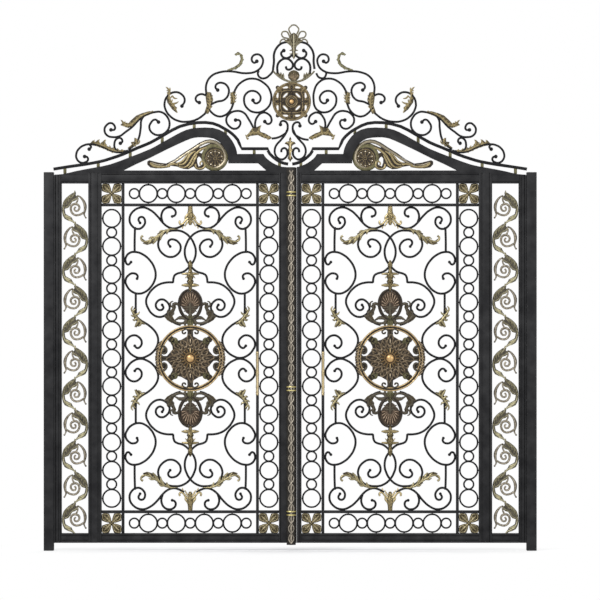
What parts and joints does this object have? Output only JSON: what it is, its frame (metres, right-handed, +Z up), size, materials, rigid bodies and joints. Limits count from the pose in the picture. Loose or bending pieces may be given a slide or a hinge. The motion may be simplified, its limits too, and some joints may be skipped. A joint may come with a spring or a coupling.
{
  "type": "driveway gate",
  "caption": "Double-leaf wrought iron driveway gate with square posts, scrolled panels, ring borders, cast leaves and a crown on an arched crest",
  "frame": {"origin": "middle of the left post's foot, on the ground", "axes": "+X along the gate from the left post to the right post as seen from the street, +Y into the property (the leaves swing this way), +Z up"},
  "size_m": [3.94, 0.14, 4.2108],
  "materials": {
    "black_iron": "satin paint over forged iron",
    "antique_gold": "antique gold paint rubbed over dark iron castings",
    "dark_bronze": "dark paint with bronze rubbed on the high parts of the castings"
  },
  "bodies": {
    "posts": {"left_post": "black_iron", "right_post": "black_iron", "left_post_hinges": "black_iron", "right_post_hinges": "black_iron"},
    "left_leaf": {"left_stiles": "black_iron", "left_rails": "black_iron", "left_inner_bars": "black_iron", "left_ring_border": "black_iron", "left_corner_rosettes": "antique_gold", "left_panel_scrolls": "black_iron", "left_panel_leaves": "antique_gold", "left_panel_palmettes": "antique_gold", "left_panel_medallion": "antique_gold", "left_side_strip": "dark_bronze", "left_handle": "antique_gold", "left_arch_beam": "black_iron", "left_pediment": "antique_gold", "left_crest_rail": "black_iron", "left_crest_collars": "antique_gold", "left_crest_scrolls": "black_iron", "left_crest_leaves": "antique_gold", "left_leaf_hinges": "black_iron", "middle_column": "dark_bronze", "crest_medallion": "antique_gold", "crown": "black_iron", "crown_castings": "antique_gold", "fleur": "antique_gold"},
    "right_leaf": {"right_stiles": "black_iron", "right_rails": "black_iron", "right_inner_bars": "black_iron", "right_ring_border": "black_iron", "right_corner_rosettes": "antique_gold", "right_panel_scrolls": "black_iron", "right_panel_leaves": "antique_gold", "right_panel_palmettes": "antique_gold", "right_panel_medallion": "antique_gold", "right_side_strip": "dark_bronze", "right_handle": "antique_gold", "right_arch_beam": "black_iron", "right_pediment": "antique_gold", "right_crest_rail": "black_iron", "right_crest_collars": "antique_gold", "right_crest_scrolls": "black_iron", "right_crest_leaves": "antique_gold", "right_leaf_hinges": "black_iron"}
  },
  "joints": [
    {"name": "left_leaf_swing", "type": "hinge", "parent": "posts", "child": "left_leaf", "pos_m": [0.044, 0.061, 1.537], "axis": [0, 0, 1], "range_deg": [0, 90]},
    {"name": "right_leaf_swing", "type": "hinge", "parent": "posts", "child": "right_leaf", "pos_m": [3.816, 0.061, 1.537], "axis": [0, 0, -1], "range_deg": [0, 90]}
  ]
}
